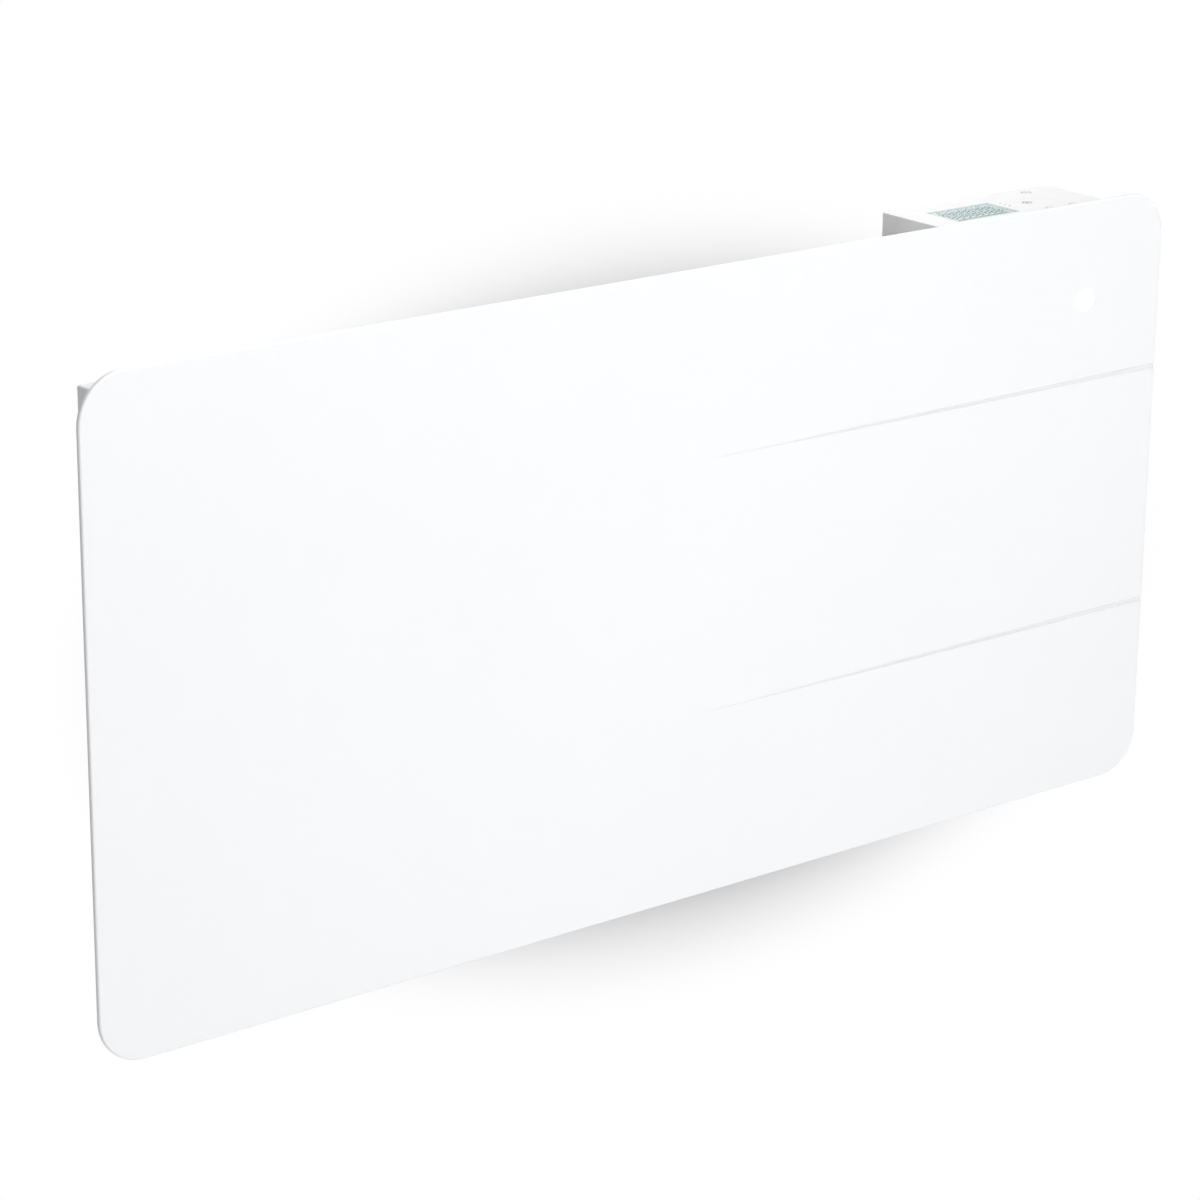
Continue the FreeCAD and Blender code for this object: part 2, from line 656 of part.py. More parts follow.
def make_controller_housing():
    outer = box(BOX_X0, BOX_X1, BOX_FRONT, BOX_REAR, BOX_Z0, BOX_Z1)
    corner = edges_where(outer, lambda p: p.x > BOX_X1 - 0.01 and p.y > BOX_REAR - 0.01)
    outer = outer.makeFillet(BOX_R, corner)
    outer = outer.makeFillet(0.8, edges_where(outer, lambda p: p.z > BOX_Z1 - 0.01))
    w = BOX_WALL
    inner = box(BOX_X0 + w, BOX_X1 - w, BOX_FRONT - 1, box_inner_rear, BOX_Z0 + w, box_inner_top)
    corner = edges_where(inner, lambda p: p.x > BOX_X1 - w - 0.01 and p.y > box_inner_rear - 0.01)
    shell = outer.cut(inner.makeFillet(BOX_R - w, corner))
    bosses = [rod_y(COVER_BOSS_R, BOX_FRONT + w, BOX_FRONT + w + 12, x, z) for x, z in cover_screws_at()]
    bosses += [rod_z(BOSS_R, BOARD_TOP, box_inner_top, x, y) for x, y in POSTS]
    bosses += [rod_y(BOSS_R, POWER_BOARD_BACK, box_inner_rear, x, z) for x, z in power_posts()]
    bosses += [rod_x(BOSS_R, BOX_X0 + w, BOX_X0 + 9, y, z) for y, z in side_screws()]
    bosses += [rod_x(BOSS_R, BOX_X1 - 9, BOX_X1 - w, y, z) for y, z in side_screws()]
    cuts = [lcd_opening(0, BOX_Z1 - WINDOW_T, BOX_Z1 + 1),
            lcd_opening(-WINDOW_LEDGE, box_inner_top - 1, BOX_Z1)]
    cuts += [rod_z(KEY_R + KEY_GAP, box_inner_top - 1, BOX_Z1 + 1, x, y) for x, y in KEYS.values()]
    cuts += [rod_z(PIPE_R, box_inner_top - 1, BOX_Z1 + 1, PIPE_X, y) for y in PIPES.values()]
    cuts += [rod_y(PILOT_R, BOX_FRONT, BOX_FRONT + w + 11, x, z) for x, z in cover_screws_at()]
    cuts += [rod_z(PILOT_R, BOARD_TOP - 1, BOARD_TOP + 8, x, y) for x, y in POSTS]
    cuts += [rod_y(PILOT_R, POWER_BOARD_BACK - 0.6, POWER_BOARD_BACK + 8.4, x, z) for x, z in power_posts()]
    cuts += [rod_x(PILOT_R, BOX_X0 - 1, BOX_X0 + 8, y, z) for y, z in side_screws()]
    cuts += [rod_x(PILOT_R, BOX_X1 - 8, BOX_X1 + 1, y, z) for y, z in side_screws()]
    cuts.append(switch_block(0, 0, BOX_X1 - w - 1, BOX_X1 + 1))
    cuts.append(rod_z(WIRE_HOLE_R, BOX_Z0 - 1, BOX_Z0 + w + 1, GROMMET_X, WIRE_Y))
    return shell.multiFuse(bosses).cut(Part.makeCompound(cuts))


def make_controller_cover():
    w = BOX_WALL + SMALL_GAP
    plate = box(BOX_X0 + w, BOX_X1 - w, BOX_FRONT, BOX_FRONT + BOX_WALL, BOX_Z0 + w, BOX_Z1 - w)
    holes = [rod_y(9.3, BOX_FRONT - 1, BOX_FRONT + 4, LENS_X, LENS_Z)]
    for x, z in cover_screws_at():
        holes.append(rod_y(CLEAR_R, BOX_FRONT - 1, BOX_FRONT + 4, x, z))
        holes.append(Part.makeCone(2 * CLEAR_R, CLEAR_R, 1.5, V(x, BOX_FRONT, z), Y_AXIS))
    return plate.cut(Part.makeCompound(holes))


def make_cover_screws():
    screws = []
    for x, z in cover_screws_at():
        head = Part.makeCone(2.9, 1.2, 1.6, V(x, BOX_FRONT + 0.1, z), Y_AXIS)
        recess = rod_y(0.9, BOX_FRONT, BOX_FRONT + 0.9, x, z)
        screws.append(join([head.cut(recess), rod_y(1.2, BOX_FRONT + 1.6, BOX_FRONT + 12, x, z)]))
    return Part.makeCompound(screws)


def make_controller_screws():
    screws = []
    for y, z in side_screws():
        left = V(bay_x0 - SHEET_T, y, z)
        right = V(bay_x1 + SHEET_T, y, z)
        screws.append(pan_screw(3.0, 2.0, SMALL_SCREW_R, 9.0, left, X_AXIS))
        screws.append(pan_screw(3.0, 2.0, SMALL_SCREW_R, 9.0, right, V(-1, 0, 0)))
    return Part.makeCompound(screws)


def make_lcd_window():
    g = 0.1
    plate = lcd_opening(-g, BOX_Z1 - WINDOW_T, BOX_Z1)
    return plate.makeFillet(0.6, edges_along(plate, Z_AXIS))


def make_lcd_glass():
    return lcd_opening(-WINDOW_LEDGE - 0.2, glass_bottom, glass_top)


def make_lcd_backlight():
    top = glass_bottom
    frame = lcd_opening(1.6, top - 3.5, top)
    legs = [rod_z(2.0, BOARD_TOP, top - 3.5, x, y)
            for x in (LCD_X0 + 3, LCD_X1 - 3) for y in (LCD_Y0 + 3, LCD_Y1 - 3)]
    return join([frame, *legs])


def make_light_pipe(y):
    pipe = rod_z(PIPE_R - 0.05, BOARD_TOP + 2, BOX_Z1 - 0.1, PIPE_X, y)
    collar = rod_z(2.2, box_inner_top - 1.2, box_inner_top, PIPE_X, y)
    return join([pipe, collar])


def make_indicator_leds():
    return Part.makeCompound([box(PIPE_X - 1.6, PIPE_X + 1.6, y - 1.2, y + 1.2, BOARD_TOP, BOARD_TOP + 1.9)
                              for y in PIPES.values()])


def make_control_board():
    board = box(BOARD_X0, BOARD_X1, BOX_FRONT + 4, box_inner_rear - 1, BOARD_TOP - BOARD_T, BOARD_TOP)
    holes = [rod_z(CLEAR_R, BOARD_TOP - 5, BOARD_TOP + 5, x, y) for x, y in POSTS]
    return board.cut(Part.makeCompound(holes))


def make_board_screws():
    seats = [(V(x, y, BOARD_TOP - BOARD_T), Z_AXIS) for x, y in POSTS]
    seats += [(V(x, POWER_BOARD_Y, z), Y_AXIS) for x, z in power_posts()]
    return Part.makeCompound([pan_screw(2.6, 1.6, SMALL_SCREW_R, 8.0, seat, axis) for seat, axis in seats])


def make_key_switches():
    switches = []
    top = BOARD_TOP + SWITCH_H
    for x, y in KEYS.values():
        body = box(x - 3, x + 3, y - 3, y + 3, BOARD_TOP, top)
        switches.append(join([body, rod_z(1.7, top, top + PLUNGER_H, x, y)]))
    return Part.makeCompound(switches)


def make_key(x, y):
    """A round cap with a retaining flange and a stem above its switch."""
    top = BOX_Z1 + KEY_PROUD
    cap = rod_z(KEY_R, box_inner_top - KEY_GAP, top, x, y)
    cap = cap.makeFillet(0.5, edges_where(cap, lambda p: p.z > top - 0.01))
    dish = Part.makeSphere(18.0, V(x, y, top + 17.75))
    flange = rod_z(KEY_R + 1.4, box_inner_top - KEY_GAP - 1, box_inner_top - KEY_GAP, x, y)
    tip = BOARD_TOP + SWITCH_H + PLUNGER_H + KEY_TRAVEL + 0.3
    stem = rod_z(1.6, tip, box_inner_top - KEY_GAP - 1, x, y)
    return join([cap.cut(dish), flange, stem])


def make_power_board():
    y0 = POWER_BOARD_Y
    y1 = POWER_BOARD_BACK
    board = box(POWER_BOARD_X0, POWER_BOARD_X1, y0, y1, POWER_BOARD_Z0, POWER_BOARD_Z1)
    return board.cut(Part.makeCompound([rod_y(CLEAR_R, y0 - 5, y1 + 5, x, z) for x, z in power_posts()]))


def make_relay():
    case = box(304.0, 333.0, POWER_BOARD_Y - 20, POWER_BOARD_Y, 176.0, 190.0)
    return case.makeFillet(0.8, edges_along(case, Y_AXIS))


def make_transformer():
    y = POWER_BOARD_Y
    core = box(350.0, 386.0, y - 28, y, 170.0, 202.0)
    window = box(346.0, 390.0, y - 21, y - 7, 176.0, 196.0)
    coil = box(348.0, 388.0, y - 21, y - 7, 176.0, 196.0)
    return join([core.cut(window), coil])


def make_terminal_block():
    y = POWER_BOARD_Y
    block = box(380.0, 424.0, y - 14, y, 140.0, 156.0)
    cuts = []
    for i in range(4):
        x = 385.5 + 11 * i
        cuts.append(rod_y(3.0, y - 15, y - 7, x, 149.0))
        cuts.append(box(x - 3, x + 3, y - 11, y - 3, 139.0, 146.0))
    return block.cut(Part.makeCompound(cuts))


# Mains rocker switch

def switch_block(grow_y, grow_z, x0, x1):
    """A block in line with the switch's cut-out."""
    y = SWITCH_CUT_Y / 2 + grow_y
    z = SWITCH_CUT_Z / 2 + grow_z
    return box(x0, x1, SWITCH_Y - y, SWITCH_Y + y, SWITCH_Z - z, SWITCH_Z + z)


def make_power_switch_frame():
    front = BOX_X1 + 1.6
    bezel = switch_block(1.6, 1.6, BOX_X1, front)
    bezel = bezel.makeFillet(0.6, edges_where(bezel, lambda p: p.x > front - 0.01))
    body = switch_block(-0.1, -0.1, BOX_X1 - SWITCH_DEEP, BOX_X1)
    well = switch_block(-SWITCH_WALL, -SWITCH_WALL, BOX_X1 - SWITCH_DEEP + 6, front + 1)
    bore = rod_z(PIN_HOLE_R, SWITCH_Z - 7.2, SWITCH_Z + 7.2, ROCKER_X, SWITCH_Y)
    tabs = [box(BOX_X1 - SWITCH_DEEP - 6, BOX_X1 - SWITCH_DEEP, SWITCH_Y + y - 2.4, SWITCH_Y + y + 2.4,
                SWITCH_Z - 0.4, SWITCH_Z + 0.4) for y in (-5.5, 5.5)]
    return join([bezel, body, *tabs]).cut(Part.makeCompound([well, bore]))


def make_power_rocker():
    """A two-slope paddle on a cross pin, tipped to its on side."""
    half_y = SWITCH_CUT_Y / 2 - SWITCH_WALL - 0.8
    half_z = SWITCH_CUT_Z / 2 - SWITCH_WALL - 0.3
    rim = 1.5
    crown = 3.4
    points = [(ROCKER_X - 3.4, SWITCH_Y - half_y + 1.4), (ROCKER_X + crown, SWITCH_Y - half_y),
              (ROCKER_X + rim, SWITCH_Y), (ROCKER_X + crown, SWITCH_Y + half_y),
              (ROCKER_X - 3.4, SWITCH_Y + half_y - 1.4)]
    paddle = prism_z(points, SWITCH_Z - half_z, SWITCH_Z + half_z)
    pin_half = SWITCH_CUT_Z / 2 - 0.4
    pin = rod_z(PIN_R, SWITCH_Z - pin_half, SWITCH_Z + pin_half, ROCKER_X, SWITCH_Y)
    rocker = join([paddle, pin])
    rocker.rotate(V(ROCKER_X, SWITCH_Y, SWITCH_Z), Z_AXIS, -ROCKER_TILT)
    return rocker


# Presence sensor

def make_sensor_lens():
    disc = rod_y(LENS_R, PANEL_FRONT, skin_back, LENS_X, LENS_Z)
    disc = disc.makeFillet(0.3, edges_where(disc, lambda p: p.y < PANEL_FRONT + 0.01))
    return join([disc, rod_y(LENS_FLANGE_R, skin_back, skin_back + LENS_FLANGE_T, LENS_X, LENS_Z)])


def make_sensor_holder():
    y0 = skin_back + LENS_FLANGE_T
    flange = rod_y(LENS_FLANGE_R, y0, y0 + 0.9, LENS_X, LENS_Z)
    ring = join([flange, rod_y(8.6, y0, SENSOR_BOARD_FRONT, LENS_X, LENS_Z)])
    return ring.cut(rod_y(7.6, y0 - 1, SENSOR_BOARD_FRONT + 1, LENS_X, LENS_Z))


def make_sensor_board():
    y0 = SENSOR_BOARD_FRONT
    return box(LENS_X - 14, LENS_X + 14, y0, y0 + 1.2, LENS_Z - 11, LENS_Z + 11)


def make_presence_sensor():
    y1 = SENSOR_BOARD_FRONT
    can = join([rod_y(4.5, y1 - 4.5, y1, LENS_X, LENS_Z), rod_y(5.0, y1 - 0.8, y1, LENS_X, LENS_Z)])
    return can.cut(box(LENS_X - 2, LENS_X + 2, y1 - 5, y1 - 4.2, LENS_Z - 1.5, LENS_Z + 1.5))


# Wall bracket

def make_wall_rail(x):
    half = RAIL_W / 2
    t = RAIL_T
    parts = [box(x - half, x + half, -t, 0, RAIL_Z0, RAIL_Z1)]
    for x0 in (x - half, x + half - t):
        parts.append(box(x0, x0 + t, CASING_REAR, 0, RAIL_Z0, RAIL_Z1 - t - 3))
        for z in HOOK_Z:
            tip = CASING_REAR - HOOK_REACH
            lip = rear_inner - 0.8
            parts.append(prism_x([(CASING_REAR + 2, z - 8), (tip + 2, z - 8), (tip, z - 6), (tip, z + 6),
                                  (lip, z + 7), (lip, z), (CASING_REAR + 2, z)], x0, x0 + t))
    parts.append(box(x - half, x + half, CASING_REAR + 1, 0, RAIL_Z1 - t, RAIL_Z1))
    rail = join(parts)
    cuts = [rod_y(HOLE_R, -5, 5, x, z) for z in (-HOLE_Z, HOLE_Z)]
    cuts.append(rod_z(LOCK_R + 0.2, RAIL_Z1 - 5, RAIL_Z1 + 5, x, LOCK_Y))
    cuts += [rod_y(RIVET_R + 0.05, -5, 5, rx, z) for rx, z in rivet_points()]
    cuts.append(crossbar_space(0.2))
    return rail.cut(Part.makeCompound(cuts))


def crossbar_space(gap):
    """The strip that the crossbar fills across the rails' inner sides."""
    x = RAIL_X + RAIL_W / 2 - RAIL_T - 2
    return box(-x - gap, x + gap, -2 * RAIL_T - gap, -RAIL_T, -15 - gap, 15 + gap)


def rivet_points():
    return [(side * (RAIL_X + dx), 0.0) for side in (-1, 1) for dx in (-7.0, 5.0)]


def make_bracket_crossbar():
    holes = [rod_y(RIVET_R + 0.05, -10, 5, x, z) for x, z in rivet_points()]
    return crossbar_space(0).cut(Part.makeCompound(holes))


def make_bar_rivets():
    rivets = []
    for x, z in rivet_points():
        head = rod_y(4.0, -2 * RAIL_T - 1.4, -2 * RAIL_T, x, z)
        head = head.makeFillet(1.0, edges_where(head, lambda p: p.y < -2 * RAIL_T - 1.3))
        rivets.append(join([head, rod_y(RIVET_R, -2 * RAIL_T, -0.2, x, z)]))
    return Part.makeCompound(rivets)


def make_lock(x):
    """A quarter-turn lock: its arm reaches through a slot in the casing's back."""
    base = RAIL_Z1 + LOCK_LIFT
    under = RAIL_Z1 - RAIL_T - LOCK_LIFT
    arm_top = base + LOCK_ARM_T
    half = LOCK_ARM_W / 2
    tip_y = LOCK_Y - LOCK_ARM + half
    pin = rod_z(LOCK_R, under - 2, arm_top, x, LOCK_Y)
    collar = rod_z(LOCK_R + 1.6, under - 2, under, x, LOCK_Y)
    arm = box(x - half, x + half, tip_y, LOCK_Y, base, arm_top)
    end = rod_z(half, base, arm_top, x, tip_y)
    head = rod_z(6.5, base, arm_top + 3, x, LOCK_Y)
    head = head.makeFillet(0.8, edges_where(head, lambda p: p.z > arm_top + 2.9))
    groove = box(x - 7, x + 7, LOCK_Y - 0.7, LOCK_Y + 0.7, arm_top + 1, arm_top + 4)
    return join([pin, collar, arm, end, head]).cut(groove)


def all_nodes():
    nodes = {
        "front_panel": make_front_panel(),
        "panel_nuts": make_panel_nuts(),
        "casing_screws": make_casing_screws(),
        "radiant_foil": make_radiant_foil(),
        "insulation_board": make_insulation_board(),
        "reflector_tray": make_reflector_tray(),
        "bay_partition": make_bay_partition(),
        "wire_grommet": make_wire_grommet(),
        "cable_gland": make_cable_gland(),
        "gland_nut": make_gland_nut(),
        "element_profile": make_element_profile(),
        "element_rod": make_element_rod(),
        "element_bushes": Part.makeCompound([element_bush(ELEMENT_X0, -1), element_bush(ELEMENT_X1, 1)]),
        "element_brackets": Part.makeCompound([element_bracket(ELEMENT_X0 - BUSH_FLANGE_T, -1),
                                               element_bracket(ELEMENT_X1 + BUSH_FLANGE_T, 1)]),
        "thermal_cutout": make_thermal_cutout(),
        "air_probe": make_air_probe(),
        "probe_clip": make_probe_clip(),
        "supply_lead": make_supply_lead(),
        "element_leads": make_element_leads(),
        "foil_leads": make_foil_leads(),
        "probe_lead": make_probe_lead(),
        "controller_housing": make_controller_housing(),
        "controller_cover": make_controller_cover(),
        "cover_screws": make_cover_screws(),
        "controller_screws": make_controller_screws(),
        "lcd_window": make_lcd_window(),
        "lcd_glass": make_lcd_glass(),
        "lcd_backlight": make_lcd_backlight(),
        "indicator_leds": make_indicator_leds(),
        "control_board": make_control_board(),
        "board_screws": make_board_screws(),
        "key_switches": make_key_switches(),
        "power_board": make_power_board(),
        "relay": make_relay(),
        "transformer": make_transformer(),
        "terminal_block": make_terminal_block(),
        "power_switch_frame": make_power_switch_frame(),
        "power_rocker": make_power_rocker(),
        "sensor_lens": make_sensor_lens(),
        "sensor_holder": make_sensor_holder(),
        "sensor_board": make_sensor_board(),
        "presence_sensor": make_presence_sensor(),
        "wall_rail_left": make_wall_rail(-RAIL_X),
        "wall_rail_right": make_wall_rail(RAIL_X),
        "bracket_crossbar": make_bracket_crossbar(),
        "bar_rivets": make_bar_rivets(),
        "lock_left": make_lock(-RAIL_X),
        "lock_right": make_lock(RAIL_X),
    }
    nodes.update(casing_pieces())
    for name, y in PIPES.items():
        nodes[name] = make_light_pipe(y)
    for name, (x, y) in KEYS.items():
        nodes[name] = make_key(x, y)
    return nodes


os.makedirs("parts", exist_ok=True)
for name, shape in all_nodes().items():
    shape.exportStep("parts/" + name + ".step")
    print(name, len(shape.Solids), shape.isValid(), round(shape.Volume / 1000, 2))
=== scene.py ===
import json
import math

import bmesh
import bpy
from mathutils import Matrix, Vector


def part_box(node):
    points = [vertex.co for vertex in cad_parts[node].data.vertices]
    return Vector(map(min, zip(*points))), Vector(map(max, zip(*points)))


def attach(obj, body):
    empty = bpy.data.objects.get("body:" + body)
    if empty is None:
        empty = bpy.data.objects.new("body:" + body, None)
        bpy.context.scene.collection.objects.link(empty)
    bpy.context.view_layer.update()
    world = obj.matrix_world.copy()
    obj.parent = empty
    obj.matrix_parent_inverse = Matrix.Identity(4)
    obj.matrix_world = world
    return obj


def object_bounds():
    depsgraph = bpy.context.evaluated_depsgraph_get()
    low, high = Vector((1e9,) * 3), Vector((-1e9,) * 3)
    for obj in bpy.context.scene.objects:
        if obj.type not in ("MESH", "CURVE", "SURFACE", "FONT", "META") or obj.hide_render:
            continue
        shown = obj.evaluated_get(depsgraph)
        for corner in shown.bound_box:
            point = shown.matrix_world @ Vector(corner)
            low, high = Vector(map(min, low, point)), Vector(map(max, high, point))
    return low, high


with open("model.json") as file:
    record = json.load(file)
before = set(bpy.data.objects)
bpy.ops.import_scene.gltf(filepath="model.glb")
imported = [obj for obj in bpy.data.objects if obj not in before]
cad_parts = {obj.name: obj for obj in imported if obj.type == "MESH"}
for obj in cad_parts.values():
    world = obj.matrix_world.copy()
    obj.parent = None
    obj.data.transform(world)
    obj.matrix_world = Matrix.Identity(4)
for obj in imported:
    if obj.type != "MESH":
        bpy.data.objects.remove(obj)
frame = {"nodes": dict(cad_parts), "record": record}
cad_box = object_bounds()
nodes = frame["nodes"]

# Camera: at the panel's upper left, with a long lens
CAMERA_AT = (-1.7287, -2.2080, 0.8904)
CAMERA_YAW = 38.06
CAMERA_PITCH = 18.10
CAMERA_ROLL = 0.51
CAMERA_LENS = 114.3

# Stage
FLOOR_Z = -0.85
FLOOR_SIZE = 14.0
FLOOR_FADE = (7.0, 7.0, 1.0)
FLOOR_CORE = 0.5
WALL_HALF = 3.2
WALL_TOP = 2.4
WALL_GAP = 0.0008

# The oval of grey paper on the wall that stands for the heater's soft shadow
SHADOW_AT = (0.07, 0.0, -0.05)
SHADOW_TILT = 7.0
SHADOW_SIZE = (0.58, 1.0, 0.35)
SHADOW_CORE = 0.475

# Lights: name, place, aimed at, size and watts
AMBIENT = 0.35
LIGHTS = (
    ("front_softbox", (0.05, -2.4, 0.85), (0.05, 0.0, -0.05), (1.6, 1.2), 36.1),
    ("top_softbox", (0.3, -0.1, 2.6), (0.2, -0.05, 0.0), (2.6, 1.4), 37.0),
    ("rear_softbox", (1.6, 2.6, 1.2), (0.0, 0.0, 0.0), (2.0, 2.0), 18.0),
)

# Display layout, as counts and as shares of the glass
DIGITS = 8
HOURS = 24
POINTERS = 5
FIELD_LEFT = 0.08
DIGIT_PITCH = 0.108
DIGIT_ROWS = (0.57, 0.26)
HOURS_WIDE = 0.82

# Printed marks, in metres
INK_T = 0.00004
INK_LIFT = 0.00001
SEGMENT_HALF = 0.00065
MASK_MARGIN = 0.0012
MASK_LIFT = 0.00005
KEY_RING_IN = 0.00302
KEY_RING_OUT = 0.00368
KEY_DISH = 0.00018
LABEL_HALF_W = 0.040
LABEL_HALF_H = 0.024
LABEL_T = 0.00012
LABEL_ASIDE = 0.12
LABEL_BELOW = 0.050
RULES = 8
RULE_HALF_W = 0.036
RULE_TOP = 0.0192
RULE_PITCH = 0.0052


def make_camera():
    data = bpy.data.cameras.new("camera")
    data.lens = CAMERA_LENS
    data.sensor_width = 36.0
    data.clip_start = 0.05
    data.clip_end = 50.0
    camera = bpy.data.objects.new("camera", data)
    bpy.context.scene.collection.objects.link(camera)
    turn = Matrix.Rotation(math.radians(-CAMERA_YAW), 4, "Z")
    tilt = Matrix.Rotation(math.radians(90 - CAMERA_PITCH), 4, "X")
    roll = Matrix.Rotation(math.radians(CAMERA_ROLL), 4, "Z")
    camera.matrix_world = Matrix.Translation(CAMERA_AT) @ turn @ tilt @ roll
    bpy.context.scene.camera = camera


# Material building blocks

class Shader:
    """A principled material whose colour, roughness and relief come from nodes."""

    def __init__(self, name, **sockets):
        self.material = bpy.data.materials.new(name)
        self.material.use_nodes = True
        self.tree = self.material.node_tree
        self.bsdf = self.tree.nodes["Principled BSDF"]
        for socket, value in sockets.items():
            self.bsdf.inputs[socket.replace("_", " ")].default_value = value
        self.place = self.add("ShaderNodeTexCoord").outputs["Object"]

    def add(self, kind, **settings):
        node = self.tree.nodes.new(kind)
        for key, value in settings.items():
            setattr(node, key, value)
        return node

    def link(self, a, b):
        self.tree.links.new(a, b)

    def stretched(self, scale):
        """The object's coordinates, scaled differently along each axis."""
        mapping = self.add("ShaderNodeMapping")
        mapping.inputs["Scale"].default_value = scale
        self.link(self.place, mapping.inputs["Vector"])
        return mapping.outputs["Vector"]

    def noise(self, scale, detail=3.0, rough=0.5, stretch=None):
        node = self.add("ShaderNodeTexNoise")
        node.inputs["Scale"].default_value = scale
        node.inputs["Detail"].default_value = detail
        node.inputs["Roughness"].default_value = rough
        self.link(self.stretched(stretch) if stretch else self.place, node.inputs["Vector"])
        return node.outputs["Fac"]

    def cells(self, scale):
        node = self.add("ShaderNodeTexVoronoi")
        node.inputs["Scale"].default_value = scale
        self.link(self.place, node.inputs["Vector"])
        return node.outputs["Distance"]

    def ramp(self, factor, stops):
        node = self.add("ShaderNodeValToRGB")
        elements = node.color_ramp.elements
        while len(elements) < len(stops):
            elements.new(0.5)
        for element, (at, colour) in zip(elements, stops):
            element.position = at
            element.color = (*colour, 1.0)
        self.link(factor, node.inputs["Fac"])
        return node.outputs["Color"]

    def mix(self, factor, a, b, mode="MIX"):
        node = self.add("ShaderNodeMix", data_type="RGBA", blend_type=mode)
        for socket, value in (("Factor", factor), ("A", a), ("B", b)):
            target = [s for s in node.inputs if s.name == socket and s.enabled][0]
            if isinstance(value, bpy.types.NodeSocket):
                self.link(value, target)
            else:
                target.default_value = value
        return [s for s in node.outputs if s.enabled][0]

    def span(self, factor, low, high):
        """A factor from 0 to 1 mapped to a range."""
        node = self.add("ShaderNodeMapRange")
        node.inputs["To Min"].default_value = low
        node.inputs["To Max"].default_value = high
        self.link(factor, node.inputs["Value"])
        return node.outputs["Result"]

    def painted_crevice_shade(self, reach, shade):
        """White on open faces, falling to a painted shade in grooves and inner corners."""
        node = self.add("ShaderNodeAmbientOcclusion", samples=8, only_local=True)
        node.inputs["Distance"].default_value = reach
        return self.ramp(node.outputs["AO"], [(0.45, (shade, shade, shade)), (0.93, (1.0, 1.0, 1.0))])

    def colour(self, output):
        self.link(output, self.bsdf.inputs["Base Color"])

    def roughness(self, output):
        self.link(output, self.bsdf.inputs["Roughness"])

    def fading(self, surface, centre, tilt, size, start):
        """Turns a surface into plain white light away from a centre."""
        mapping = self.add("ShaderNodeMapping", vector_type="TEXTURE")
        mapping.inputs["Location"].default_value = centre
        mapping.inputs["Rotation"].default_value = (0.0, math.radians(tilt), 0.0)
        mapping.inputs["Scale"].default_value = size
        self.link(self.place, mapping.inputs["Vector"])
        away = self.add("ShaderNodeVectorMath", operation="LENGTH")
        self.link(mapping.outputs["Vector"], away.inputs[0])
        fade = self.add("ShaderNodeMapRange", interpolation_type="SMOOTHERSTEP")
        fade.inputs["From Min"].default_value = start
        self.link(away.outputs["Value"], fade.inputs["Value"])
        mix = self.add("ShaderNodeMixShader")
        white = self.add("ShaderNodeEmission")
        self.link(fade.outputs["Result"], mix.inputs["Fac"])
        self.link(surface, mix.inputs[1])
        self.link(white.outputs["Emission"], mix.inputs[2])
        return mix.outputs["Shader"]

    def one_sided(self, surface):
        """Shows a surface from its front, and nothing from behind."""
        mix = self.add("ShaderNodeMixShader")
        clear = self.add("ShaderNodeBsdfTransparent")
        side = self.add("ShaderNodeNewGeometry")
        self.link(side.outputs["Backfacing"], mix.inputs["Fac"])
        self.link(surface, mix.inputs[1])
        self.link(clear.outputs["BSDF"], mix.inputs[2])
        self.link(mix.outputs["Shader"], self.tree.nodes["Material Output"].inputs["Surface"])

    def bump(self, height, distance, strength):
        node = self.add("ShaderNodeBump")
        node.inputs["Distance"].default_value = distance
        node.inputs["Strength"].default_value = strength
        self.link(height, node.inputs["Height"])
        self.link(node.outputs["Normal"], self.bsdf.inputs["Normal"])


def tinted(colour, amount):
    """Two close shades either side of a colour."""
    low = tuple(max(0.0, c * (1 - amount)) for c in colour)
    high = tuple(min(1.0, c * (1 + amount)) for c in colour)
    return low, high


def powder_coat(name, colour, rough, peel=900.0, relief=0.00005, shade=0.8):
    """Sprayed and baked paint: faint cloudiness, orange peel and uneven gloss, with a painted shade in
    its grooves and inner corners.
    """
    s = Shader(name, Metallic=0.0, Coat_Weight=0.12, Coat_Roughness=0.25)
    low, high = tinted(colour, 0.006)
    cloud = s.ramp(s.noise(3.5, 4.0), [(0.3, low), (0.7, high)])
    grain_low, grain_high = tinted((0.985, 0.985, 0.985), 0.012)
    grain = s.ramp(s.noise(2600.0, 2.0), [(0.35, grain_low), (0.65, grain_high)])
    coat = s.mix(1.0, cloud, grain, "MULTIPLY")
    # Painted shade: the coat's colour darkens in grooves and inner corners, standing in for their shade
    s.colour(s.mix(1.0, coat, s.painted_crevice_shade(0.003, shade), "MULTIPLY"))
    s.roughness(s.span(s.noise(14.0, 5.0), rough - 0.05, rough + 0.05))
    s.bump(s.noise(peel, 2.0, 0.4), relief, 0.35)
    return s.material


def moulded(name, colour, rough=0.5, grain=5200.0, relief=0.00003):
    """Moulded plastic with a fine spark-eroded grain."""
    s = Shader(name)
    low, high = tinted(colour, 0.02)
    s.colour(s.ramp(s.noise(60.0, 4.0), [(0.3, low), (0.7, high)]))
    s.roughness(s.span(s.noise(900.0, 3.0), rough - 0.06, rough + 0.06))
    s.bump(s.noise(grain, 2.0, 0.6), relief, 0.5)
    return s.material


